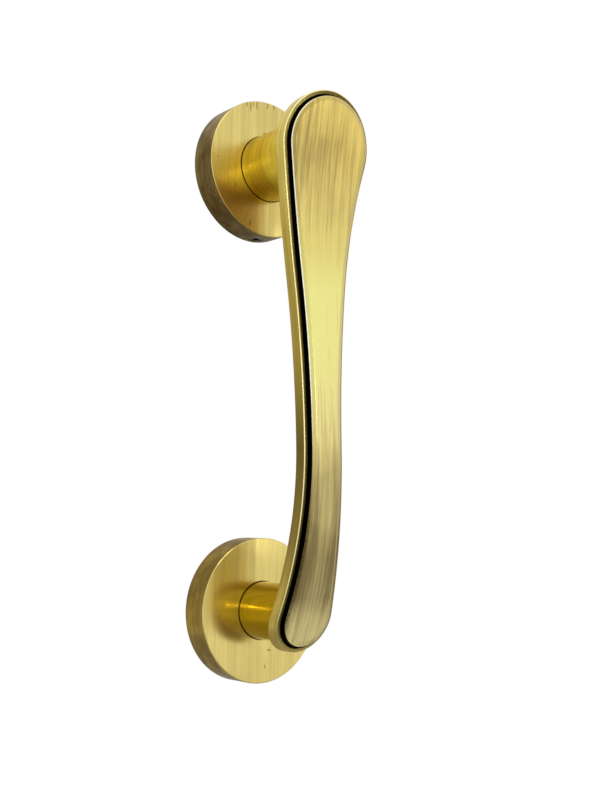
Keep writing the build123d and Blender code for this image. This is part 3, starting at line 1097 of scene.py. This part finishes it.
# %% [markdown]
# ### The tree of a wood screw
#
# The grid's columns go round the screw and its rows go first across the flat of the head, then
# along to the point. Every point gets a radius from how far along it is: the land of the head, its
# cone, the shank with its ridge, then the point. The ridge is a sharp wave of the distance along
# plus the share of a turn, and that share is what makes it wind. The cross recess is pressed into
# the flat the same way: whatever lies inside one of two crossed slots is lowered, with sloping
# sides like those a punch leaves.

# %% Tree of a wood screw
around, across_flat, along_screw = 72, 44, 190
sharp_angle = 0.6
ridge_steepness = 1.6
tip_end = 0.01 * mm
flat_end = 0.001 * mm

screw_tree, entry, size = new_tree("wood_screw_shape", screw_sizes)
grid = node(screw_tree, "GeometryNodeMeshGrid", Vertices_X=across_flat + along_screw + 1,
            Vertices_Y=around + 1)
index = Wire(screw_tree, node(screw_tree, "GeometryNodeInputIndex").outputs[0])
row = ((index + 0.5) / (around + 1)).math("FLOOR")
turn = (index - row * (around + 1)) / around
angle = turn * (2 * pi)
on_flat = (row / across_flat).clamped()
down = ((row - across_flat) / along_screw).clamped() * size["Length"]

# The radius at each point.
cone = size["Head Radius"] - (down - size["Head Land"]).math("MAXIMUM", 0.0)
body = cone.math("MAXIMUM", size["Shank Radius"])
wound = (down / size["Pitch"] + turn).math("FRACT")
wave = (wound * 2.0 - 1.0).math("ABSOLUTE").opposite()
ridge = (wave * ridge_steepness - (ridge_steepness - 1)).clamped()
grows = ((down - size["Thread Start"]) / size["Pitch"]).clamped()
threaded = body + (size["Ridge Radius"] - size["Shank Radius"]) * ridge * grows
to_point = ((size["Length"] - down) / size["Point Length"]).clamped()
pointed = size["Tip Radius"] + (threaded - size["Tip Radius"]) * to_point
radius = pointed * on_flat * down.more(size["Length"] - tip_end).opposite()

# The cross recess.
x, z = radius * angle.math("COSINE"), radius * angle.math("SINE")
wide, tall = x.math("ABSOLUTE"), z.math("ABSOLUTE")
half_slot = size["Slot Width"] / 2
upright_slot = (wide - half_slot).math("MAXIMUM", tall - size["Recess Radius"])
level_slot = (tall - half_slot).math("MAXIMUM", wide - size["Recess Radius"])
within = (-upright_slot.math("MINIMUM", level_slot) / size["Slot Taper"]).clamped()
lowered = within * size["Recess Depth"] * (-(radius / size["Recess Radius"]).square() * 0.5 + 1.0)
y = size["Head Place"] + down + lowered * down.less(flat_end)

there = node(screw_tree, "ShaderNodeCombineXYZ", X=x, Y=y, Z=z + size["Height"])
placed = node(screw_tree, "GeometryNodeSetPosition", Geometry=grid.outputs["Mesh"], Position=there.outputs[0])
smooth = closed_and_smooth(screw_tree, placed.outputs[0])
bent = Wire(screw_tree, node(screw_tree, "GeometryNodeInputMeshEdgeAngle").outputs[0])
creased = node(screw_tree, "GeometryNodeSetShadeSmooth", {"domain": "EDGE"}, Geometry=smooth.outputs[0],
               Selection=bent.more(sharp_angle).socket, Shade_Smooth=False)
hand_over(screw_tree, entry, creased.outputs[0])
print("nodes in the tree:", len(screw_tree.nodes))

# %% [markdown]
# ### Four wood screws from one tree
#
# Each screw is the same but for its height on the door, so the tree runs four times with that one
# number changed. A real screw ends its turn anywhere, but the recesses were left upright, the way
# a careful fitter leaves them.

# %% Make the wood screws
for name in screw_names:
    low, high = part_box(name)
    start = bpy.data.meshes.new("start")
    sizes = {**screw_sizes, "Height": (low.z + high.z) / 2}
    screw = grown(name + "_threaded", start, screw_tree, sizes, yellow_zinc)
    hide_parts(name)
    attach(screw, "root")
    off = max(abs(mesh - solid) for mesh, solid in zip(sides(screw), (*low, *high)))
    print(screw.name, "faces:", len(screw.data.polygons), "off the solid's box by", round(off / mm, 3), "mm")
